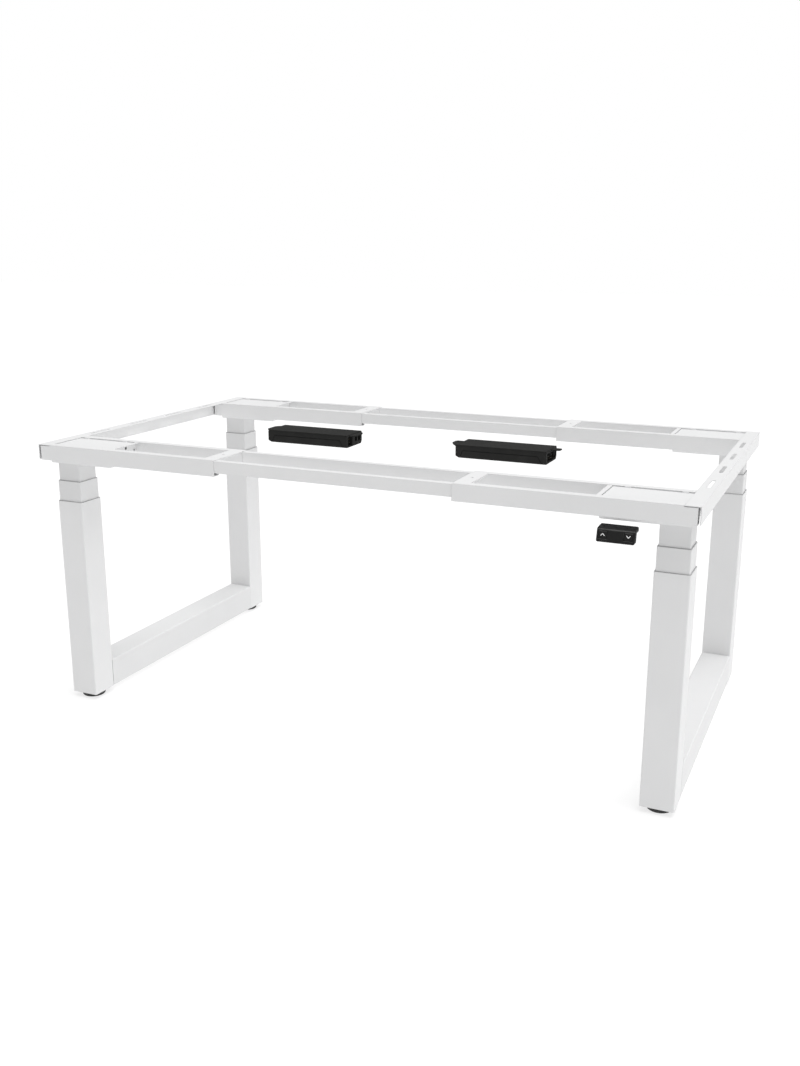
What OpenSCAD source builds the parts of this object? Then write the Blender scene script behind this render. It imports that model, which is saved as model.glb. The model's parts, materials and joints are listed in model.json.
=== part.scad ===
// Four-leg height-adjustable desk frame, shown at its lowest height.
// Origin: plan centre of the frame, on the floor. X is the width, Y the depth (front is -Y), Z is up.

/* [Frame] */
// Overall width over the side rails
frame_w = 1520; // [1440:5:1580]
// Overall depth over the front and rear beams
frame_d = 866; // [800:2:960]
// Height of the beams
beam_h = 36; // [36:0.5:40]
// Depth of one beam, over its two channels
beam_d = 135; // [132:1:142]
// Width of one channel of a beam
rail_w = 19.5; // [19:0.5:22]
// Half of the gap between the left and right channels
sleeve_in = 277; // [240:1:310]
// Wall thickness of the channels, housings and side rails
wall = 1.5; // [1.2:0.1:1.8]

/* [Legs] */
// Outer tube, over its flats
leg_w = 70; // [69:0.5:72]
// Wall thickness of the leg tubes
tube_t = 1.5; // [1.2:0.1:1.6]
// How much each stage steps in on every side
stage_step = 2.5; // [2.5:0.1:3]
// Length of the outer tube
outer_len = 490; // [480:1:540]
// Length of the middle tube that shows
mid_show = 49; // [40:1:65]
// Length of the inner tube that shows
inner_show = 47; // [42:1:65]
// Travel of each of the two moving stages
stage_travel = 325; // [200:5:325]
// Distance from the frame's end to the leg's outer face
leg_inset_x = 15.5; // [15.5:0.5:18]
// Distance from the beam's face to the leg's face
leg_inset_y = 33.5; // [32:0.5:36]

/* [Feet] */
// Height of the levelling glides, screwed right in
glide_h = 12.5; // [10:0.5:16]
// Diameter of the levelling glides
glide_d = 55; // [40:1:60]

/* [Motor housings] */
// How far a housing reaches below the beam
house_drop = 9; // [8:0.5:14]
// Length of a housing along the beam
house_len = 174; // [170:0.5:176]
// Distance from a housing to the outer end of its channels
house_in = 11.5; // [9:0.5:11.5]

/* [Side rails] */
// Width of the top flange
flange_w = 31; // [28:0.5:36]
// Width of the fixing slots
slot_w = 8; // [6:0.5:9]
// Length of the fixing slots, end to end
slot_len = 72; // [40:1:80]
// Distance between neighbouring slots
slot_pitch = 153; // [120:1:160]

/* [Rails] */
// Length of the centre rails
centre_len = 965; // [900:5:990]
// Height of the centre rails
centre_h = 26.5; // [24:0.5:27]

/* [Control box] */
// Left end of the control box
cb_x = -373; // [-400:1:-340]
// Length of the control box
cb_l = 220.5; // [200:0.5:230]
// Depth of the control box
cb_w = 84; // [82:1:90]
// Height of the control box
cb_h = 30.5; // [30:0.5:36]

/* [Power box] */
// Left end of the power box
pb_x = 132; // [100:1:150]
// Length of the power box
pb_l = 219.5; // [200:0.5:230]
// Depth of the power box
pb_w = 84; // [82:1:90]
// Height of the power box
pb_h = 30.5; // [30:0.5:36]
// Front face of both boxes
box_y = -39; // [-70:1:0]

/* [Handset] */
// Left end of the handset
hs_x0 = 571.5; // [560:0.5:600]
// Length of the handset
hs_l = 72.5; // [70:0.5:78]
// Front face of the handset
hs_y0 = -441; // [-442:0.5:-440]
// Gap between the handset and the beam
hs_drop = 19; // [12:1:24]
// Travel of the keys
key_travel = 0.8; // [0.4:0.1:1]

/* [Hidden] */

white = [0.93, 0.93, 0.93];
black = [0.14, 0.14, 0.135];
grey = [0.60, 0.60, 0.60];
steel = [0.62, 0.63, 0.65];
green = [0.10, 0.32, 0.18];

fx = frame_w / 2;                        // half width
fy = frame_d / 2;                        // half depth
lx = fx - leg_inset_x - leg_w / 2;       // leg centre
ly = fy - leg_inset_y - leg_w / 2;
z1 = glide_h + outer_len;                // top of the outer tube
z2 = z1 + mid_show;                      // top of the middle tube
zh = z2 + inner_show;                    // underside of the motor housing
zb = zh + house_drop;                    // underside of the beams
zt = zb + beam_h;                        // top of the frame
h1 = leg_w / 2;                          // half widths of the three tubes
h2 = h1 - stage_step;
h3 = h2 - stage_step;
c1 = h1 - tube_t;                        // half widths of their bores
c2 = h2 - tube_t;
c3 = h3 - tube_t;
run = 0.3;                               // gap between pieces that slide on each other
by0 = fy - beam_d;                       // inner face of a beam
iy0 = by0 + rail_w;                      // inner faces of its channels
iy1 = fy - rail_w;
ex = fx - 6;                             // outer end of the channels
ho = ex - house_in;                      // outer end of the motor housing
hx = ho - house_len;                     // its inner end
mid_z0 = z1 - stage_travel - 124;        // bottom of the middle tube
in_z0 = z2 - stage_travel - 124;         // bottom of the inner tube
bolt_y = h3 + 4.5;                       // bolts of the inner tube's plate
bush_len = 120;
post_top = z1 - 50;                      // top of the post in the foot
head_z = z1;                             // bearing seat of the middle post

// ---- shapes that repeat ----
module corner(sx, sy) { mirror([sx < 0 ? 1 : 0, 0, 0]) mirror([0, sy < 0 ? 1 : 0, 0]) children(); }
module leg_at(sx, sy) { corner(sx, sy) translate([lx, ly, 0]) children(); }
module pair(sx) { for (sy = [-1, 1]) leg_at(sx, sy) children(); }

module rsq(h, r) {
  square([2 * h, 2 * (h - r)], center = true);
  square([2 * (h - r), 2 * h], center = true);
  for (i = [-1, 1], j = [-1, 1]) translate([i * (h - r), j * (h - r)]) circle(r = r, $fn = 48);
}
module rrect(x, y, r) {
  translate([0, r]) square([x, y - 2 * r]);
  translate([r, 0]) square([x - 2 * r, y]);
  for (i = [r, x - r], j = [r, y - r]) translate([i, j]) circle(r = r, $fn = 48);
}
module sleeve(ho, ro, hi, ri, z0, z1) {
  translate([0, 0, z0]) linear_extrude(z1 - z0) difference() { rsq(ho, ro); rsq(hi, ri); }
}
module slab(h, r, z0, z1) { translate([0, 0, z0]) linear_extrude(z1 - z0) rsq(h, r); }
module block(x0, x1, y0, y1, z0, z1) { translate([x0, y0, z0]) cube([x1 - x0, y1 - y0, z1 - z0]); }
module rod(r, z0, z1) { translate([0, 0, z0]) cylinder(r = r, h = z1 - z0, $fn = 64); }
module ring(ro, ri, z0, z1) { difference() { rod(ro, z0, z1); rod(ri, z0 - 1, z1 + 1); } }

// ---- legs ----
module outer_tube(sx, sy) { color(white) leg_at(sx, sy) sleeve(h1, 2.8, c1, 1.5, glide_h, z1); }
module middle_tube(sx, sy) { color(white) leg_at(sx, sy) sleeve(h2, 2.5, c2, 1.2, mid_z0, z2); }
// the inner tube ends in a plate that carries the motor and is bolted to the housing floor
module inner_tube(sx, sy) {
  color(white) leg_at(sx, sy) {
    sleeve(h3, 2.2, c3, 1, in_z0, zh + wall);
    difference() {
      translate([-40, -40, zh + wall]) linear_extrude(4) rrect(39.95 + h3, 80, 2);
      rod(9.5, zh, zh + 10);
      for (i = [-1, 1], j = [-1, 1]) translate([i * 20, j * bolt_y, 0]) rod(3.2, zh, zh + 10);
    }
  }
}
module outer_bush() {
  sleeve(c1 - 0.05, 1.45, h2 + run, 2.8, z1 - bush_len, z1);
  sleeve(h1 - 0.8, 2.2, h2 + run, 2.8, z1, z1 + 0.7);
}
module middle_bush() {
  sleeve(c2 - 0.05, 1.15, h3 + run, 2.5, z2 - bush_len, z2);
  sleeve(h2 - 0.8, 1.9, h3 + run, 2.5, z2, z2 + 0.7);
}
module outer_bushes(sx) { color(grey) pair(sx) outer_bush(); }
module middle_bushes(sx) { color(grey) pair(sx) middle_bush(); }

// ---- lifting screws ----
// base plate, post and nut in the outer tube; the glide's stud screws into the plate
module base_post() {
  difference() {
    union() { slab(c1 - 0.1, 1.4, glide_h, glide_h + 6); rod(14, glide_h + 6, post_top + 10); }
    rod(12, glide_h + 6, post_top - 30);
    rod(10, post_top - 31, post_top + 11);
    rod(4.05, glide_h - 1, glide_h + 7);
  }
}
module base_posts(sx) { color(steel) pair(sx) base_post(); }
// bottom plate, post, bearing seat and nut in the middle tube; they pass over the base post
module middle_post() {
  difference() {
    union() { slab(c2 - 0.1, 1.1, mid_z0 + 4, mid_z0 + 10); rod(17.5, mid_z0 + 10, head_z); rod(20, head_z - 4, head_z + 55); }
    rod(15.5, mid_z0, head_z - 4);
    rod(10.4, head_z - 5, head_z + 1);
    rod(14.5, head_z, head_z + 16);
    rod(7.05, head_z + 15, head_z + 60);
  }
}
module middle_posts(sx) { color(steel) pair(sx) middle_post(); }
// hollow screw that turns with the upper screw, held by its collar in the middle post's head
module lower_screw(sx, sy) {
  color(steel) leg_at(sx, sy) difference() {
    union() { rod(9.95, post_top - stage_travel - 55, head_z + 15.6); rod(13.5, head_z + 0.4, head_z + 15.6); }
    rod(7.3, 10, head_z + 20);
  }
}
module upper_screw(sx, sy) {
  color(steel) leg_at(sx, sy) { rod(7, head_z - stage_travel - 40, zh - 1); rod(8.8, zh - 1, zh + 5.6); rod(6, zh + 5, zh + 22); }
}
// flat motor with its worm gearbox over the leg, all sealed in one unit
module gear_motor(sx, sy) {
  color([0.30, 0.31, 0.32]) leg_at(sx, sy) {
    difference() {
      translate([-26, -26, zh + 6]) linear_extrude(28) rrect(52, 52, 6);
      rod(6.05, zh, zh + 24);
    }
    translate([-25, 14, zh + 23]) rotate([0, -90, 0]) cylinder(r = 16, h = 84, $fn = 64);
    translate([-109, 14, zh + 23]) rotate([0, -90, 0]) cylinder(r = 8, h = 6, $fn = 48);
    block(-100, -80, -14, 6, zh + 8, zh + 22);
  }
}

// ---- feet ----
module foot_crossbar(sx) {
  a = ly - h1;
  color(white) translate([sx * lx, a, glide_h + h1]) rotate([90, 0, 0]) linear_extrude(2 * a) difference() { rsq(h1, 2.8); rsq(c1, 1.5); }
}
module glide(sx, sy) {
  r = glide_d / 2;
  color(black) leg_at(sx, sy) rotate_extrude($fn = 96)
    polygon([[0, 0], [r - 2, 0], [r, 2], [r, glide_h - 3.5], [r - 3, glide_h - 0.5], [4, glide_h - 0.5], [4, glide_h + 31], [3, glide_h + 32], [0, glide_h + 32]]);
}

// ---- beams ----
// side view of the motor housing, set in by t on all sides
module house_side(t) {
  l = house_len;
  translate([t, 3]) square([l - 2 * t, zt - 4 - zh - 3]);
  translate([3, t]) square([l - 6, 3.01 - t]);
  for (x = [3, l - 3]) translate([x, 3]) circle(r = 3 - t, $fn = 64);
}
module housing() {
  l = house_len;
  difference() {
    translate([hx, iy1, zh]) rotate([90, 0, 0]) difference() {
      linear_extrude(iy1 - iy0) house_side(0);
      translate([0, 0, wall]) linear_extrude(iy1 - iy0 - 2 * wall) {
        house_side(wall);
        translate([wall, zt - 20 - zh]) square([l - 2 * wall, 30]);
      }
    }
    translate([lx, ly, 0]) slab(h3 + 0.2, 2.6, zh - 1, zh + wall + 1);                       // the leg's tube comes through here
    for (i = [-1, 1], j = [-1, 1]) translate([lx + i * 20, ly + j * bolt_y, 0]) rod(3.2, zh - 1, zh + wall + 1);
    translate([hx - 1, iy0 + 39, zt - 8.5]) rotate([0, 90, 0]) cylinder(r = 3.4, h = 5, $fn = 40);   // holes for the motor's lead
    translate([hx - 1, iy0 + 9, zt - 17]) rotate([0, 90, 0]) cylinder(r = 2.4, h = 5, $fn = 40);
  }
}
module end_bracket(sx, sy) {
  color(white) corner(sx, sy) difference() {
    union() {
      for (y = [by0, iy1]) difference() {
        block(sleeve_in, ex, y, y + rail_w, zb, zt);
        block(sleeve_in - 1, ex + 1, y + wall, y + rail_w - wall, zb + wall, zt - wall);
      }
      block(sleeve_in, sleeve_in + 34, iy0 - 0.5, iy1 + 0.5, zt - 3, zt);                       // tie plate
      housing();
      block(hx - 8, hx + wall, iy0 - 0.5, iy1 + 0.5, zt - 2.6, zt - 0.6);                         // folded lip at the housing's inner end
      block(hx, hx + wall, iy0, iy1, zt - 4.01, zt - 1);
      for (y = [iy0, iy1 - wall]) block(hx - 23, hx + 1, y, y + wall, zb + 3, zt - 4);           // side plates lapped on the channels
      block(fx - flange_w + 1, ex, iy0 - 0.5, iy1 + 0.5, zt - wall - 3.2, zt - wall - 1.2);                   // ledge for the side rail
    }
    block(fx - flange_w - 0.3, fx, by0 - 1, fy + 1, zt - wall - 1.2, zt + 1);                          // notch under the side rail's flange
    for (y = [iy0 + 16, iy1 - 16]) translate([fx - 11.5, y, 0]) rod(3.2, zt - wall - 4, zt);            // holes for its studs
    translate([sleeve_in + 18, (iy0 + iy1) / 2, 0]) rod(3.25, zt - 4, zt + 1);                   // desktop screw hole
    for (y = [by0, iy1]) translate([sleeve_in + 14, y + rail_w / 2, 0]) rod(3, zb - 1, zb + wall + 1);
  }
}
// cover plate let in between the channels, with tabs that bridge the gap at its long edges
module motor_cover() {
  x0 = hx + wall + 1.5;
  x1 = fx - flange_w + 0.7;                 // its end lies under the side rail
  block(x0, x1, iy0 + 2.8, iy1 - 2.8, zt - 4, zt - 2);
  for (x = [hx + 26, fx - 55], s = [0, 1]) translate([0, s ? iy0 + iy1 : 0, 0]) mirror([0, s, 0]) block(x, x + 12, iy0 + 0.1, iy0 + 5, zt - 4, zt - 0.5);
}
module motor_covers(sx) { color(white) for (sy = [-1, 1]) corner(sx, sy) motor_cover(); }
module centre_rails(sy) {
  w = rail_w - 2 * wall - 2 * run;
  z = zt - wall - run - centre_h;
  color(white) corner(1, sy) for (y = [by0 + rail_w / 2, fy - rail_w / 2]) difference() {
    block(-centre_len / 2, centre_len / 2, y - w / 2, y + w / 2, z, z + centre_h);
    block(-centre_len / 2 - 1, centre_len / 2 + 1, y - w / 2 + 1.8, y + w / 2 - 1.8, z + 1.8, z + centre_h - 1.8);
  }
}
module slot(l, w, h) { linear_extrude(h) { square([w, l - w], center = true); for (s = [-1, 1]) translate([0, s * (l - w) / 2]) circle(r = w / 2, $fn = 48); } }
// L-shaped rail with four slots and four studs that pass into the brackets
module side_rail(sx) {
  color(white) corner(sx, 1) {
    difference() {
      union() {
        block(fx - flange_w, fx, -fy, fy, zt - wall, zt);
        block(fx - wall, fx, -fy, fy, zb + 1, zt);
      }
      for (k = [-1.5, -0.5, 0.5, 1.5]) translate([fx - flange_w / 2, k * slot_pitch, zt - wall - 1]) slot(slot_len, slot_w, wall + 2);
    }
    for (s = [-1, 1], y = [iy0 + 16, iy1 - 16]) translate([fx - 11.5, s * y, 0]) rod(3, zt - 12, zt - wall + 0.5);
  }
}

// ---- fasteners ----
module hexnut(r, z0, z1, bore) { difference() { translate([0, 0, z0]) cylinder(r = r, h = z1 - z0, $fn = 6); rod(bore, z0 - 1, z1 + 1); } }
module rail_fixings(sx) {
  for (s = [-1, 1], y = [iy0 + 16, iy1 - 16]) corner(sx, s) translate([fx - 11.5, y, 0]) {
    hexnut(5.7, zt - wall - 8.25, zt - wall - 3.25, 3.05);
    ring(6, 3.05, zt - wall - 1.15, zt - wall - 0.05);
  }
}
module plate_bolts(sx) {
  pair(sx) for (i = [-1, 1], j = [-1, 1]) translate([i * 20, j * bolt_y, 0]) { rod(3, zh + 0.2, zh + wall + 4.05); rod(4.8, zh + wall + 4.05, zh + wall + 7.5); }
}
module clamp_screws(sx) {
  for (s = [-1, 1], y = [by0, iy1]) corner(sx, s) translate([sleeve_in + 14, y + rail_w / 2, 0]) rod(2.95, zb + 0.2, zt - wall - run - centre_h - 0.3);
}

// ---- handset, below the right front beam, its face leaning back ----
hs_h = 28.5;                              // height
hs_zb = zb - hs_drop - hs_h;              // underside
tilt = 15;
key_v = 7;                                // bottom of the keys, along the face
key_h = 15;
key_w = 17;
key_x = [3, hs_l - 21];
module on_face() { translate([hs_x0, hs_y0, hs_zb]) rotate([-tilt, 0, 0]) children(); }
module side_of(x0, x1) { translate([hs_x0 + x0, hs_y0, hs_zb]) rotate([90, 0, 90]) linear_extrude(x1 - x0) children(); }
module handset_case() {
  color(black) difference() {
    intersection() {
      side_of(0, hs_l) polygon([[1.5 * tan(tilt), 1.5], [1.6, 0], [13, 0], [14.5, 1.5], [16, 11], [18, 20], [34, 20], [34, 27.6], [32.6, hs_h], [8.2, 24.9], [7, 24.4], [22.8 * tan(tilt), 22.8]]);
      translate([hs_x0, hs_y0 + 60, hs_zb]) rotate([90, 0, 0]) linear_extrude(70) rrect(hs_l, hs_h, 3.5);                 // rounded corners, seen from the front
    }
    side_of(2, hs_l - 2) polygon([[2.7, 2], [12.3, 2], [13.8, 11], [15.6, 19], [7.3, 19]]);
    on_face() for (x = key_x) translate([x - 0.35, -1, key_v - 0.35]) cube([key_w + 0.7, 7, key_h + 0.7]);
    for (x = [14, hs_l - 14]) translate([hs_x0 + x, hs_y0 + 26, 0]) rod(2.05, hs_zb + 10, hs_zb + 40);
  }
}
module handset_key(i) {
  color(black) on_face() translate([key_x[i], 0, key_v]) {
    translate([0, 0.35, 0]) cube([key_w, 4.2, key_h]);
    translate([key_w / 2 - 4, 4.5, key_h / 2 - 3]) cube([8, 5.1 - key_travel, 6]);
  }
}
module frame_fasteners(sx) { color(steel) { rail_fixings(sx); plate_bolts(sx); clamp_screws(sx); } }

// ---- control boxes, with their tops at the desktop's underside ----
// end view of a box: y across, z up from its underside
module box_end(w, h, t) {
  polygon([[t, 3 + t * 0.4], [2 + t * 0.4, t], [w - 5 - t * 0.4, t], [w - t, 7 + t * 0.4], [w - t, h - t], [t, h - t]]);
}
module tray(l, w, h) {
  difference() {
    rotate([90, 0, 90]) linear_extrude(l) box_end(w, h, 0);
    translate([8.6, 0, 0]) rotate([90, 0, 90]) linear_extrude(l - 8.6 - 14) intersection() { box_end(w, h + 5, 2.2); square([w, h + 5]); }
    translate([0, w + 1, 0]) rotate([90, 0, 0]) linear_extrude(w + 2) polygon([[-1, -1], [9.6, -1], [-1, 5.6]]);          // rounded-off end
    translate([0, 1.3, 0]) rotate([90, 0, 0]) linear_extrude(2.3) difference() {                                        // groove round the lower front panel
      polygon([[17.5, 18.4], [l - 20, 18.4], [l - 7.5, -1], [8.5, -1]]);
      polygon([[18.7, 17.1], [l - 21.2, 17.1], [l - 9.6, -1.2], [10.6, -1.2]]);
    }
    for (y = [14 : 6 : w - 14]) translate([l - 8, y, h - 1.2]) cube([9, 3, 2]);                                        // vents under the lid's edge
  }
}
// lid: a plate with a raised middle and an ear at each end
module lid(l, w) {
  block(0, l, 0, w, -3.9, -2.4);
  block(1, l - 0.4, 0.5, w - 0.5, -2.5, 0);
  for (s = [0, 1]) translate([s ? l : 0, w / 2, -3.9]) mirror([s ? 0 : 1, 0, 0]) linear_extrude(2.4) children($children > 1 ? s : 0);
}
// first box: blunt ears
module control_box_tray() {
  color(black) translate([cb_x, box_y, zt - cb_h]) difference() {
    tray(cb_l, cb_w, cb_h - 4);
    translate([cb_l - 10, 6, 3.8]) cube([12, 26, 21]);
    translate([cb_l - 10, 45.5, 10.5]) cube([12, 11.5, 11.5]);
    translate([cb_l - 10, 63, 8.5]) cube([12, 14.5, 13.5]);
  }
}
module control_box_lid() {
  color(black) translate([cb_x, box_y, zt]) difference() {
    lid(cb_l, cb_w) polygon([[-1, -30], [4, -30], [12, -23], [15, -16], [15, 16], [12, 23], [4, 30], [-1, 30]]);
    for (x = [-8, cb_l + 8]) translate([x, cb_w / 2, 0]) rod(2.2, -10, 1);
  }
}
module control_box_board() {
  color(green) translate([cb_x, box_y, zt - cb_h]) {
    block(10, cb_l - 20, 8, cb_w - 8, 6, 7.6);
    block(30, 70, 16, 50, 7.6, 22);
    block(84, 104, 14, 34, 7.6, 24);
    block(110, 130, 14, 34, 7.6, 24);
    block(144, 194, 20, 64, 7.6, 18);
    for (x = [36, 60], y = [12, cb_w - 12]) translate([x, y, 0]) rod(3, 2.3, 6);
  }
}
// second box: a wide ear on the left, a narrow one on the right
module power_box_tray() {
  color(black) translate([pb_x, box_y, zt - pb_h]) difference() {
    tray(pb_l, pb_w, pb_h - 4);
    difference() {
      translate([pb_l - 10, 9, 3.6]) cube([12, 70, 19.9]);
      for (y = [37, 62.5]) translate([pb_l - 11, y, 14]) cube([12, 2.5, 11]);
    }
  }
}
module power_box_lid() {
  color(black) translate([pb_x, box_y, zt]) difference() {
    lid(pb_l, pb_w) {
      polygon([[-1, -38], [2, -38], [14, -21], [21, -8], [21.5, -4], [21.5, 14], [17, 20], [-1, 20]]);
      polygon([[-1, -3], [6, -3], [17, -0.5], [20, 3], [20, 17], [17, 20], [-1, 20]]);
    }
    for (x = [-12, pb_l + 12]) translate([x, pb_w / 2 + 8.5, 0]) rod(2.2, -10, 1);
  }
}
module power_box_board() {
  color(green) translate([pb_x, box_y, zt - pb_h]) {
    block(10, pb_l - 20, 8, pb_w - 8, 6, 7.6);
    block(20, 76, 14, 62, 7.6, 24);
    block(90, 108, 16, 34, 7.6, 24);
    block(120, 160, 14, 40, 7.6, 20);
    for (x = [84, 112], y = [12, pb_w - 12]) translate([x, y, 0]) rod(3, 2.3, 6);
  }
}

outer_tube(-1, -1);  // left_front_outer_tube
outer_tube(-1, 1);  // left_rear_outer_tube
outer_tube(1, -1);  // right_front_outer_tube
outer_tube(1, 1);  // right_rear_outer_tube
middle_tube(-1, -1);  // left_front_middle_tube
middle_tube(-1, 1);  // left_rear_middle_tube
middle_tube(1, -1);  // right_front_middle_tube
middle_tube(1, 1);  // right_rear_middle_tube
inner_tube(-1, -1);  // left_front_inner_tube
inner_tube(-1, 1);  // left_rear_inner_tube
inner_tube(1, -1);  // right_front_inner_tube
inner_tube(1, 1);  // right_rear_inner_tube
lower_screw(-1, -1);  // left_front_lower_screw
lower_screw(-1, 1);  // left_rear_lower_screw
lower_screw(1, -1);  // right_front_lower_screw
lower_screw(1, 1);  // right_rear_lower_screw
upper_screw(-1, -1);  // left_front_upper_screw
upper_screw(-1, 1);  // left_rear_upper_screw
upper_screw(1, -1);  // right_front_upper_screw
upper_screw(1, 1);  // right_rear_upper_screw
gear_motor(-1, -1);  // left_front_gear_motor
gear_motor(-1, 1);  // left_rear_gear_motor
gear_motor(1, -1);  // right_front_gear_motor
gear_motor(1, 1);  // right_rear_gear_motor
end_bracket(-1, -1);  // left_front_end_bracket
end_bracket(-1, 1);  // left_rear_end_bracket
end_bracket(1, -1);  // right_front_end_bracket
end_bracket(1, 1);  // right_rear_end_bracket
glide(-1, -1);  // left_front_glide
glide(-1, 1);  // left_rear_glide
glide(1, -1);  // right_front_glide
glide(1, 1);  // right_rear_glide
side_rail(-1);  // left_side_rail
side_rail(1);  // right_side_rail
foot_crossbar(-1);  // left_foot_crossbar
foot_crossbar(1);  // right_foot_crossbar
centre_rails(-1);  // front_centre_rails
centre_rails(1);  // rear_centre_rails
motor_covers(-1);  // left_motor_covers
motor_covers(1);  // right_motor_covers
outer_bushes(-1);  // left_outer_bushes
outer_bushes(1);  // right_outer_bushes
middle_bushes(-1);  // left_middle_bushes
middle_bushes(1);  // right_middle_bushes
base_posts(-1);  // left_base_posts
base_posts(1);  // right_base_posts
middle_posts(-1);  // left_middle_posts
middle_posts(1);  // right_middle_posts
frame_fasteners(-1);  // left_frame_fasteners
frame_fasteners(1);  // right_frame_fasteners
control_box_tray();
control_box_lid();
control_box_board();
power_box_tray();
power_box_lid();
power_box_board();
handset_case();
handset_key(0);  // handset_up_key
handset_key(1);  // handset_down_key
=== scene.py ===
import json
import math

import bmesh
import bpy
from mathutils import Matrix, Vector


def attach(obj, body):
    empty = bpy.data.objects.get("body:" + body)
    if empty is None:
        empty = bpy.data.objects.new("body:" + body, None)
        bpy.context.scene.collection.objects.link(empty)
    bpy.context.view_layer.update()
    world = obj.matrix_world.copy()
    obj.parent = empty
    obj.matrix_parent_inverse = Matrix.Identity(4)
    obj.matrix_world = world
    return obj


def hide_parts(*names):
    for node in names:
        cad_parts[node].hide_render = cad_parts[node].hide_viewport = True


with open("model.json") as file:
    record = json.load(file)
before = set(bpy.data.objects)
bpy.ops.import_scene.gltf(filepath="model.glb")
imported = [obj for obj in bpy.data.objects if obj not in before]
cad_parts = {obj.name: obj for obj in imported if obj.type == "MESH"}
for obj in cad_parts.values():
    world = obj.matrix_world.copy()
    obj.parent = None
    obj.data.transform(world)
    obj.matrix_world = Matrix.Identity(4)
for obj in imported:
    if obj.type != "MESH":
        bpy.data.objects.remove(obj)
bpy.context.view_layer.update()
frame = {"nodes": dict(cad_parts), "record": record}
NODES = frame["nodes"]

# ---------------------------------------------------------------- camera
RIGHT = Vector((0.913038, 0.407874, 0.000528)).normalized()
FORWARD = Vector((-0.393823, 0.881919, -0.259080)).normalized()
UP = RIGHT.cross(FORWARD).normalized()
RIGHT = FORWARD.cross(UP).normalized()
cam_data = bpy.data.cameras.new("camera")
cam = bpy.data.objects.new("camera", cam_data)
bpy.context.scene.collection.objects.link(cam)
m = Matrix.Identity(4)
for i in range(3):
    m[i][0], m[i][1], m[i][2] = RIGHT[i], UP[i], -FORWARD[i]
    m[i][3] = (1.04817, -2.40838, 1.11030)[i]
cam.matrix_world = m
cam_data.sensor_width = 36.0
cam_data.lens = 1101.31 / 1066.0 * 36.0
cam_data.clip_start, cam_data.clip_end = 0.05, 60.0
bpy.context.scene.camera = cam

# ---------------------------------------------------------------- light, floor, background
scene = bpy.context.scene
scene.view_settings.view_transform = "Standard"
scene.view_settings.look = "None"
scene.view_settings.exposure = 0.0
scene.view_settings.gamma = 1.0

world = bpy.data.worlds.new("studio")
scene.world = world
world.use_nodes = True
wn, wl = world.node_tree.nodes, world.node_tree.links
wn.clear()
w_out = wn.new("ShaderNodeOutputWorld")
w_cam = wn.new("ShaderNodeBackground")
w_cam.inputs["Color"].default_value = (1, 1, 1, 1)
w_cam.inputs["Strength"].default_value = 1.0
w_amb = wn.new("ShaderNodeBackground")
w_amb.inputs["Color"].default_value = (1, 1, 1, 1)
w_amb.inputs["Strength"].default_value = 0.44
w_mix = wn.new("ShaderNodeMixShader")
w_path = wn.new("ShaderNodeLightPath")
wl.new(w_path.outputs["Is Camera Ray"], w_mix.inputs[0])
wl.new(w_amb.outputs[0], w_mix.inputs[1])
wl.new(w_cam.outputs[0], w_mix.inputs[2])
wl.new(w_mix.outputs[0], w_out.inputs["Surface"])


def sun(name, direction, strength, angle):
    d = bpy.data.lights.new(name, "SUN")
    d.energy = strength
    d.angle = math.radians(angle)
    o = bpy.data.objects.new(name, d)
    scene.collection.objects.link(o)
    o.rotation_mode = "QUATERNION"
    o.rotation_quaternion = Vector(direction).to_track_quat("Z", "Y")
    return o


sun("key_soft", (0.20, 0.0, 0.98), 2.25, 50)
sun("side_soft", (0.94, -0.05, 0.34), 0.37, 40)


# ---------------------------------------------------------------- material helpers
def new_mat(name):
    mat = bpy.data.materials.new(name)
    mat.use_nodes = True
    nt = mat.node_tree
    bsdf = nt.nodes["Principled BSDF"]
    return mat, nt, bsdf


def node(nt, kind, **props):
    n = nt.nodes.new(kind)
    for k, v in props.items():
        setattr(n, k, v)
    return n


def obj_coords(nt, scale=(1, 1, 1)):
    tc = node(nt, "ShaderNodeTexCoord")
    mp = node(nt, "ShaderNodeMapping")
    mp.inputs["Scale"].default_value = scale
    nt.links.new(tc.outputs["Object"], mp.inputs["Vector"])
    return mp.outputs["Vector"]


def noise(nt, vec, scale, detail=2.0, rough=0.5):
    n = node(nt, "ShaderNodeTexNoise")
    n.inputs["Scale"].default_value = scale
    n.inputs["Detail"].default_value = detail
    n.inputs["Roughness"].default_value = rough
    nt.links.new(vec, n.inputs["Vector"])
    return n.outputs["Fac"]


def ramp(nt, fac, stops):
    r = node(nt, "ShaderNodeValToRGB")
    els = r.color_ramp.elements
    while len(els) < len(stops):
        els.new(0.5)
    for e, (p, c) in zip(els, stops):
        e.position = p
        e.color = (*c, 1) if len(c) == 3 else c
    nt.links.new(fac, r.inputs["Fac"])
    return r.outputs["Color"]


def span(nt, fac, lo, hi, a=0.0, b=1.0):
    r = node(nt, "ShaderNodeMapRange")
    r.inputs["From Min"].default_value = a
    r.inputs["From Max"].default_value = b
    r.inputs["To Min"].default_value = lo
    r.inputs["To Max"].default_value = hi
    nt.links.new(fac, r.inputs["Value"])
    return r.outputs["Result"]


def bump(nt, height, strength, distance, normal=None):
    b = node(nt, "ShaderNodeBump")
    b.inputs["Strength"].default_value = strength
    b.inputs["Distance"].default_value = distance
    nt.links.new(height, b.inputs["Height"])
    if normal is not None:
        nt.links.new(normal, b.inputs["Normal"])
    return b.outputs["Normal"]


def g(v):
    return (v, v, v)


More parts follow.
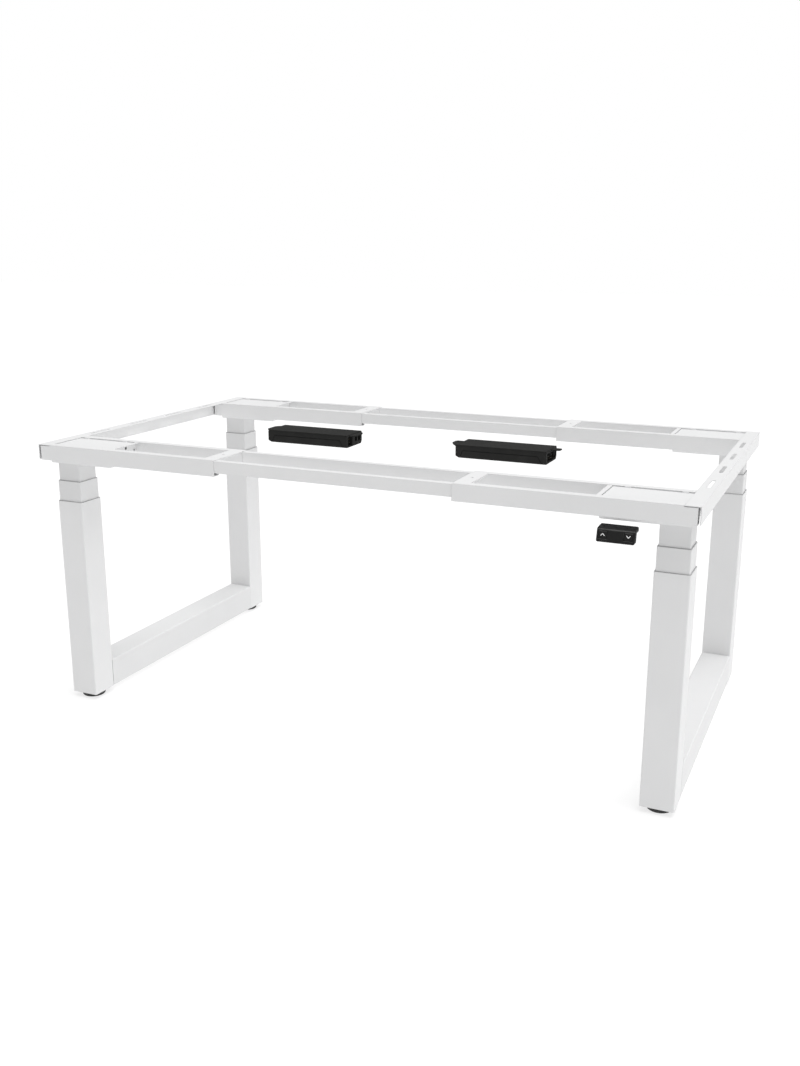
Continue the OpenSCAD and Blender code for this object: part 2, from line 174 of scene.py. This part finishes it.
def edge_mask(nt, radius, lo=0.02, hi=0.35):
    """1 along convex and concave edges, 0 on flats; also the rounded-edge normal."""
    bv = node(nt, "ShaderNodeBevel", samples=6)
    bv.inputs["Radius"].default_value = radius
    geo = node(nt, "ShaderNodeNewGeometry")
    dot = node(nt, "ShaderNodeVectorMath", operation="DOT_PRODUCT")
    nt.links.new(bv.outputs["Normal"], dot.inputs[0])
    nt.links.new(geo.outputs["True Normal"], dot.inputs[1])
    inv = node(nt, "ShaderNodeMath", operation="SUBTRACT")
    inv.inputs[0].default_value = 1.0
    nt.links.new(dot.outputs["Value"], inv.inputs[1])
    return span(nt, inv.outputs[0], 0.0, 1.0, lo, hi), bv.outputs["Normal"]


def mix_col(nt, fac, a, b):
    m_ = node(nt, "ShaderNodeMix", data_type="RGBA")
    nt.links.new(fac, m_.inputs["Factor"])
    for sock, v in (("A", a), ("B", b)):
        s_ = [i for i in m_.inputs if i.name == sock and i.type == "RGBA"][0]
        if isinstance(v, tuple):
            s_.default_value = (*v, 1)
        else:
            nt.links.new(v, s_)
    return [o_ for o_ in m_.outputs if o_.type == "RGBA"][0]


def times(nt, a, b):
    m_ = node(nt, "ShaderNodeMath", operation="MULTIPLY")
    nt.links.new(a, m_.inputs[0])
    nt.links.new(b, m_.inputs[1])
    return m_.outputs[0]


def powder_coat(name="powder_coat_white", painted_shade_tone=1.0):
    mat, nt, bsdf = new_mat(name)
    v = obj_coords(nt)
    big = noise(nt, v, 6.0, 3.0, 0.55)
    # a tone factor below 1 darkens the whole coat; these darker copies are painted shade
    col = ramp(nt, big, [(0.25, (0.790 * painted_shade_tone, 0.792 * painted_shade_tone, 0.796 * painted_shade_tone)), (0.75, (0.822 * painted_shade_tone, 0.823 * painted_shade_tone, 0.826 * painted_shade_tone))])
    mask, bn = edge_mask(nt, 0.0012)
    patchy = span(nt, noise(nt, v, 75.0, 4.0, 0.65), 0.0, 1.0, 0.45, 0.62)
    wear = times(nt, mask, patchy)
    col = mix_col(nt, span(nt, wear, 0.0, 0.55), col, (0.62, 0.625, 0.635))
    dust = span(nt, noise(nt, obj_coords(nt, (1, 1, 0.35)), 16.0, 5.0, 0.7), 0.0, 0.10, 0.5, 0.8)
    col = mix_col(nt, dust, col, (0.70, 0.695, 0.68))
    nt.links.new(col, bsdf.inputs["Base Color"])
    mid = noise(nt, v, 180.0, 2.0, 0.5)
    nt.links.new(span(nt, mid, 0.38, 0.52, 0.3, 0.7), bsdf.inputs["Roughness"])
    fine = noise(nt, v, 1400.0, 2.0, 0.6)
    n1 = bump(nt, fine, 0.22, 0.0002, bn)
    n2 = bump(nt, mid, 0.12, 0.0004, n1)
    nt.links.new(n2, bsdf.inputs["Normal"])
    bsdf.inputs["Specular IOR Level"].default_value = 0.4
    return mat


def plastic(name, lo, hi, rlo, rhi, grain=900.0, strength=0.3, edge=(0.09, 0.09, 0.09), radius=0.0012, spec=0.5, painted_highlight=None):
    mat, nt, bsdf = new_mat(name)
    v = obj_coords(nt)
    big = noise(nt, v, 22.0, 3.0, 0.6)
    col = ramp(nt, big, [(0.3, lo), (0.7, hi)])
    mask, bn = edge_mask(nt, radius)
    scuff = times(nt, mask, span(nt, noise(nt, v, 120.0, 3.0, 0.6), 0.1, 1.0, 0.4, 0.65))
    col = mix_col(nt, span(nt, scuff, 0.0, 0.6), col, edge)
    if painted_highlight:
        # painted highlight: the upper front edges, whose rounded normal faces up and to the front towards the light,
        # are painted lighter in patches
        highlight_facing = node(nt, "ShaderNodeVectorMath", operation="DOT_PRODUCT")
        nt.links.new(bn, highlight_facing.inputs[0])
        highlight_facing.inputs[1].default_value = (0.0, -0.72, 0.69)
        highlight_patch = span(nt, noise(nt, v, 90.0, 3.0, 0.6), 0.6, 1.0, 0.35, 0.6)
        col = mix_col(nt, times(nt, span(nt, highlight_facing.outputs["Value"], 0.0, 0.9, 0.895, 0.955), highlight_patch), col, painted_highlight)
    nt.links.new(col, bsdf.inputs["Base Color"])
    mid = noise(nt, v, 140.0, 2.0, 0.5)
    nt.links.new(span(nt, mid, rlo, rhi, 0.3, 0.7), bsdf.inputs["Roughness"])
    vor = node(nt, "ShaderNodeTexVoronoi")
    vor.inputs["Scale"].default_value = grain
    nt.links.new(v, vor.inputs["Vector"])
    nt.links.new(bump(nt, vor.outputs["Distance"], strength, 0.0002, bn), bsdf.inputs["Normal"])
    bsdf.inputs["Specular IOR Level"].default_value = spec
    return mat


def steel(name, lo, hi, rlo, rhi, rings=0.0):
    mat, nt, bsdf = new_mat(name)
    v = obj_coords(nt)
    big = noise(nt, v, 30.0, 4.0, 0.6)
    col = ramp(nt, big, [(0.3, lo), (0.7, hi)])
    mask, bn = edge_mask(nt, 0.0004)
    col = mix_col(nt, span(nt, mask, 0.0, 0.5), col, (0.78, 0.78, 0.79))
    nt.links.new(col, bsdf.inputs["Base Color"])
    bsdf.inputs["Metallic"].default_value = 1.0
    if rings:
        # a trapezoid thread's look: a fine helical wave along the screw
        wv = node(nt, "ShaderNodeTexWave", wave_type="BANDS", bands_direction="Z", wave_profile="TRI")
        wv.inputs["Scale"].default_value = rings
        wv.inputs["Distortion"].default_value = 0.0
        nt.links.new(v, wv.inputs["Vector"])
        nt.links.new(span(nt, noise(nt, v, 500.0), rlo, rhi, 0.3, 0.7), bsdf.inputs["Roughness"])
        nt.links.new(bump(nt, wv.outputs["Fac"], 0.8, 0.0012, bn), bsdf.inputs["Normal"])
    else:
        fine = noise(nt, v, 600.0, 3.0, 0.6)
        nt.links.new(span(nt, fine, rlo, rhi, 0.3, 0.7), bsdf.inputs["Roughness"])
        nt.links.new(bump(nt, fine, 0.25, 0.0002, bn), bsdf.inputs["Normal"])
    return mat


def board():
    mat, nt, bsdf = new_mat("circuit_board_green")
    v = obj_coords(nt)
    w = node(nt, "ShaderNodeTexBrick")
    w.inputs["Scale"].default_value = 90.0
    w.inputs["Color1"].default_value = (0.02, 0.13, 0.05, 1)
    w.inputs["Color2"].default_value = (0.025, 0.16, 0.06, 1)
    w.inputs["Mortar"].default_value = (0.05, 0.22, 0.09, 1)
    nt.links.new(v, w.inputs["Vector"])
    nt.links.new(w.outputs["Color"], bsdf.inputs["Base Color"])
    nt.links.new(span(nt, noise(nt, v, 200.0), 0.28, 0.45, 0.3, 0.7), bsdf.inputs["Roughness"])
    nt.links.new(bump(nt, noise(nt, v, 300.0), 0.2, 0.0002), bsdf.inputs["Normal"])
    return mat


def ink():
    mat, nt, bsdf = new_mat("marking_white")
    v = obj_coords(nt)
    col = ramp(nt, noise(nt, v, 400.0, 3.0, 0.6), [(0.3, (0.90, 0.90, 0.89)), (0.7, (0.96, 0.96, 0.95))])
    nt.links.new(col, bsdf.inputs["Base Color"])
    nt.links.new(span(nt, noise(nt, v, 900.0), 0.45, 0.6, 0.3, 0.7), bsdf.inputs["Roughness"])
    nt.links.new(bump(nt, noise(nt, v, 1500.0), 0.15, 0.0001), bsdf.inputs["Normal"])
    return mat


M = {
    "powder_coat": powder_coat(),
    "screw_steel": steel("turned_steel", (0.42, 0.42, 0.43), (0.52, 0.52, 0.53), 0.22, 0.38, rings=40.0),
    "fastener_zinc": steel("zinc_plated_steel", (0.60, 0.61, 0.63), (0.70, 0.71, 0.72), 0.28, 0.42),
    "motor_shell": plastic("motor_paint_grey", (0.045, 0.046, 0.05), (0.06, 0.061, 0.065), 0.35, 0.5, 500.0, 0.15, (0.12, 0.12, 0.12)),
    "bush_plastic": plastic("bush_plastic_grey", (0.43, 0.43, 0.432), (0.50, 0.50, 0.502), 0.45, 0.6, radius=0.0004, edge=(0.55, 0.55, 0.55)),
    "glide_plastic": plastic("glide_plastic_black", (0.016, 0.016, 0.016), (0.026, 0.026, 0.025), 0.5, 0.68, 700.0, 0.4, (0.06, 0.06, 0.06)),
    "box_plastic": plastic("box_plastic_black", (0.0215, 0.0215, 0.021), (0.0285, 0.0285, 0.0275), 0.60, 0.74, 1000.0, 0.3, (0.045, 0.045, 0.044), 0.0022, 0.05),
    # handset: the last colour is a painted highlight along the upper front edge
    "handset_plastic": plastic("handset_plastic_black", (0.0155, 0.0155, 0.0153), (0.0215, 0.0215, 0.021), 0.48, 0.60, 1300.0, 0.25, (0.09, 0.09, 0.089), 0.0022, 0.10, (0.115, 0.115, 0.113)),
    "circuit_board": board(),
}
INK = ink()
# painted shade: the contact pins are coloured much darker than bare contact metal, standing in for the shade deep in
# the socket recesses
SHADED_PIN = steel("contact_pin_painted_shade", (0.10, 0.085, 0.05), (0.14, 0.12, 0.07), 0.4, 0.55)
# painted shade: the middle and inner leg stages and the foot crossbar get darker copies of the white powder coat,
# standing in for the shade that falls on them
SHADED_STAGE_MATS = {"middle_tube": powder_coat("powder_coat_middle_painted_shade", 0.955), "inner_tube": powder_coat("powder_coat_inner_painted_shade", 0.895), "foot_crossbar": powder_coat("powder_coat_foot_painted_shade", 0.95)}
SLOT = {r["node"]: r["material_slot"] for r in frame["record"]["subparts"]}

for name, o in NODES.items():
    o.data.materials.clear()
    shaded_stage_mat = [m_ for k_, m_ in SHADED_STAGE_MATS.items() if name.endswith(k_)]
    o.data.materials.append(shaded_stage_mat[0] if shaded_stage_mat else M[SLOT[name]])


# ---------------------------------------------------------------- own pieces
def piece(name, bm, mat, body, nodes=(), smooth=True):
    bmesh.ops.recalc_face_normals(bm, faces=bm.faces)
    me_ = bpy.data.meshes.new(name)
    bm.to_mesh(me_)
    bm.free()
    if smooth:
        for pol in me_.polygons:
            pol.use_smooth = True
    ob = bpy.data.objects.new(name, me_)
    scene.collection.objects.link(ob)
    me_.materials.append(mat)
    if smooth:
        wn_ = ob.modifiers.new("normals", "WEIGHTED_NORMAL")
        wn_.keep_sharp = True
    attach(ob, body)
    if nodes:
        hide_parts(*nodes)
    return ob


def prism(bm, pts, place, thick, edge=0.0, segs=2):
    """Outline pts (u, v) drawn out by thick along the third axis; place(u, v, w) gives the point in the frame. Rounded edges."""
    lo_ = [bm.verts.new(place(u, v, 0.0)) for u, v in pts]
    hi_ = [bm.verts.new(place(u, v, thick)) for u, v in pts]
    fs = [bm.faces.new(lo_), bm.faces.new(list(reversed(hi_)))]
    k = len(pts)
    for i in range(k):
        fs.append(bm.faces.new([lo_[i], hi_[i], hi_[(i + 1) % k], lo_[(i + 1) % k]]))
    if edge:
        es = list({e for f_ in fs for e in f_.edges})
        bmesh.ops.bevel(bm, geom=es, offset=edge, segments=segs, profile=0.5, affect="EDGES", clamp_overlap=True)


def round_rect(w, h, r, n=6):
    out = []
    for cx, cy, a0 in ((w - r, r, -90), (w - r, h - r, 0), (r, h - r, 90), (r, r, 180)):
        for i in range(n + 1):
            a = math.radians(a0 + 90 * i / n)
            out.append((cx + r * math.cos(a), cy + r * math.sin(a)))
    return out


def dish(bm, centre, ax_u, ax_v, ax_n, prof, n=40):
    """Turned shape: prof is a list of (radius, height) from the rim to the middle."""
    c = Vector(centre)
    rings_ = []
    for r, h in prof:
        if r == 0:
            rings_.append([bm.verts.new(c + ax_n * h)])
        else:
            rings_.append([bm.verts.new(c + ax_u * (r * math.cos(2 * math.pi * i / n)) + ax_v * (r * math.sin(2 * math.pi * i / n)) + ax_n * h) for i in range(n)])
    for a, b in zip(rings_, rings_[1:]):
        for i in range(n):
            j = (i + 1) % n
            if len(b) == 1:
                bm.faces.new([a[i], a[j], b[0]])
            elif len(a) == 1:
                bm.faces.new([a[0], b[i], b[j]])
            else:
                bm.faces.new([a[i], a[j], b[j], b[i]])


# handset keys: rounded caps that lean with the handset's face, each with its arrow
TILT = math.radians(15)
HS = Vector((0.5715, -0.441, 0.560))
FACE_IN = Vector((0, math.cos(TILT), -math.sin(TILT)))     # into the handset
FACE_UP = Vector((0, math.sin(TILT), math.cos(TILT)))
EX = Vector((1, 0, 0))


def on_face(x, v, u):
    return HS + EX * x + FACE_UP * v + FACE_IN * u


for key, x0, up in (("up", 0.003, True), ("down", 0.0515, False)):
    bm = bmesh.new()
    w, h = 0.017, 0.015
    # cap: rings of a rounded rectangle, domed at the front
    rings_ = []
    for inset, depth in ((0.0, 0.0045), (0.0, 0.0011), (0.00015, 0.00075), (0.0005, 0.0005), (0.0012, 0.00038), (0.0035, 0.00035)):
        rr = max(0.0018 - inset * 0.5, 0.0006)
        ring_ = [(u + inset, v + inset) for u, v in round_rect(w - 2 * inset, h - 2 * inset, rr)]
        rings_.append([bm.verts.new(on_face(x0 + u, 0.007 + v, depth)) for u, v in ring_])
    for a, b in zip(rings_, rings_[1:]):
        k = len(a)
        for i in range(k):
            bm.faces.new([a[i], b[i], b[(i + 1) % k], a[(i + 1) % k]])
    bm.faces.new(rings_[-1])
    bm.faces.new(list(reversed(rings_[0])))
    # stem behind the cap
    prism(bm, [(0.0045, 0.0045), (0.0125, 0.0045), (0.0125, 0.0105), (0.0045, 0.0105)], lambda u, v, q: on_face(x0 + u, 0.007 + v, 0.0044 + q), 0.0044, 0.0004, 2)
    cap = piece(f"{key}_key_cap", bm, M["handset_plastic"], f"{key}_key", [f"handset_{key}_key"])
    # arrow: a chevron stroke with rounded ends, a little proud of the cap
    bm = bmesh.new()
    cx, cv, hw, hh, t = x0 + w / 2, 0.007 + h / 2, 0.00335, 0.0018, 0.00068
    sgn = 1 if up else -1
    outer = [(-hw, -hh), (0, hh), (hw, -hh)]
    arm = Vector((hw, 2 * hh, 0)).normalized()
    nrm = Vector((-arm[1], arm[0], 0))
    pts = []
    # left arm outside, tip, right arm outside, then back on the inside; ends rounded by small arcs
    A, B, Cc = [Vector((x_, y_, 0)) for x_, y_ in outer]
    n2 = Vector((arm[1], arm[0], 0))
    pts.append(A + nrm * t)
    pts.append(B + Vector((0, t / max(abs(nrm[1]), 0.2), 0)))
    pts.append(Cc + n2 * t)
    for k_ in range(1, 6):
        a_ = math.atan2(n2[1], n2[0]) - math.pi * k_ / 6
        pts.append(Cc + Vector((math.cos(a_), math.sin(a_), 0)) * t)
    pts.append(Cc - n2 * t)
    pts.append(B - Vector((0, t / max(abs(nrm[1]), 0.2), 0)))
    pts.append(A - nrm * t)
    for k_ in range(1, 6):
        a_ = math.atan2(-nrm[1], -nrm[0]) - math.pi * k_ / 6
        pts.append(A + Vector((math.cos(a_), math.sin(a_), 0)) * t)
    prism(bm, [(q[0], q[1] * sgn) for q in pts], lambda u, v, q: on_face(cx + u, cv + v, 0.00042 - q), 0.0002)
    piece(f"{key}_arrow", bm, INK, f"{key}_key", smooth=False)

# contact pins inside the sockets of both boxes
bm = bmesh.new()
zc = 0.6435 - 0.0305


def pin(bm, x, y, z, r=0.00055, l=0.0055):
    n = 12
    rings_ = []
    for rr, dx in ((r, 0.0), (r, l - 0.0008), (r * 0.45, l)):
        rings_.append([bm.verts.new((x + dx, y + rr * math.cos(2 * math.pi * i / n), z + rr * math.sin(2 * math.pi * i / n))) for i in range(n)])
    for a, b in zip(rings_, rings_[1:]):
        for i in range(n):
            bm.faces.new([a[i], a[(i + 1) % n], b[(i + 1) % n], b[i]])
    bm.faces.new(rings_[-1])
    bm.faces.new(list(reversed(rings_[0])))


xb = -0.1525 - 0.0100
for i in range(5):
    for j in range(2):
        pin(bm, xb, -0.033 + 0.005 + i * 0.004, zc + 0.0105 + j * 0.008)
for yc, zm in ((0.01225, 0.01625), (0.03125, 0.01525)):
    for i in (-1, 0, 1):
        for j in (-1, 1):
            pin(bm, xb, yc + i * 0.0031, zc + zm + j * 0.0028, 0.0004)
piece("control_box_pins", bm, SHADED_PIN, "centre")
bm = bmesh.new()
xb = 0.3515 - 0.0100
for y0, k in ((-0.030, 5), (0.001, 4), (0.0265, 3)):
    for i in range(k):
        for j in range(2):
            pin(bm, xb, y0 + 0.004 + i * 0.0045, zc + 0.0075 + j * 0.007)
piece("power_box_pins", bm, SHADED_PIN, "centre")

# countersunk screws with a cross recess, in the lids of both boxes
def cross_screw(bm, c, up, r=0.0026, n=32):
    up = Vector(up)
    ax = Vector((1, 0, 0))
    ay = up.cross(ax)
    c = Vector(c)
    dish(bm, c, ax, ay, up, [(r, 0.0), (r * 0.97, 0.00012), (r * 0.80, 0.00022), (r * 0.62, 0.00026)], n)
    # recess: the inner ring goes down to a cross-shaped floor
    ring_o = [bm.verts.new(c + ax * (r * 0.62 * math.cos(2 * math.pi * i / n)) + ay * (r * 0.62 * math.sin(2 * math.pi * i / n)) + up * 0.00026) for i in range(n)]
    ring_i, floor_ = [], []
    for i in range(n):
        a = 2 * math.pi * i / n
        q = abs(math.cos(2 * a)) ** 3
        rad = r * (0.16 + 0.40 * q)
        ring_i.append(bm.verts.new(c + ax * (rad * math.cos(a)) + ay * (rad * math.sin(a)) + up * 0.00026))
        floor_.append(bm.verts.new(c + ax * (rad * 0.7 * math.cos(a)) + ay * (rad * 0.7 * math.sin(a)) - up * 0.0007))
    for i in range(n):
        j = (i + 1) % n
        bm.faces.new([ring_o[i], ring_o[j], ring_i[j], ring_i[i]])
        bm.faces.new([ring_i[i], ring_i[j], floor_[j], floor_[i]])
    bm.faces.new(floor_)


for box, x0, l in (("control_box", -0.373, 0.2205), ("power_box", 0.132, 0.2195)):
    bm = bmesh.new()
    for x in (x0 + 0.018, x0 + l - 0.018):
        for y in (-0.039 + 0.012, -0.039 + 0.072):
            cross_screw(bm, (x, y, 0.6435 - 0.0305), (0, 0, -1), 0.0030)
    piece(f"{box}_screws", bm, M["fastener_zinc"], "centre")

# ---------------------------------------------------------------- floor
bm = bmesh.new()
bmesh.ops.create_grid(bm, x_segments=8, y_segments=8, size=20.0)
me = bpy.data.meshes.new("floor")
bm.to_mesh(me)
bm.free()
floor = bpy.data.objects.new("floor", me)
scene.collection.objects.link(floor)
floor.location = (0, 0, -0.0002)
fm, fnt, fb = new_mat("floor_pale")
fv = obj_coords(fnt)
fnt.links.new(ramp(fnt, noise(fnt, fv, 1.3, 2.0), [(0.3, g(0.29)), (0.7, g(0.31))]), fb.inputs["Base Color"])
fb.inputs["Roughness"].default_value = 0.9
fb.inputs["Emission Color"].default_value = (1, 1, 1, 1)
fb.inputs["Emission Strength"].default_value = 0.72
f_out = [n_ for n_ in fnt.nodes if n_.type == "OUTPUT_MATERIAL"][0]
f_geo = node(fnt, "ShaderNodeNewGeometry")
f_clear = node(fnt, "ShaderNodeBsdfTransparent")
f_mix = node(fnt, "ShaderNodeMixShader")
fnt.links.new(f_geo.outputs["Backfacing"], f_mix.inputs[0])
fnt.links.new(fb.outputs["BSDF"], f_mix.inputs[1])
fnt.links.new(f_clear.outputs["BSDF"], f_mix.inputs[2])
fnt.links.new(f_mix.outputs["Shader"], f_out.inputs["Surface"])
me.materials.append(fm)
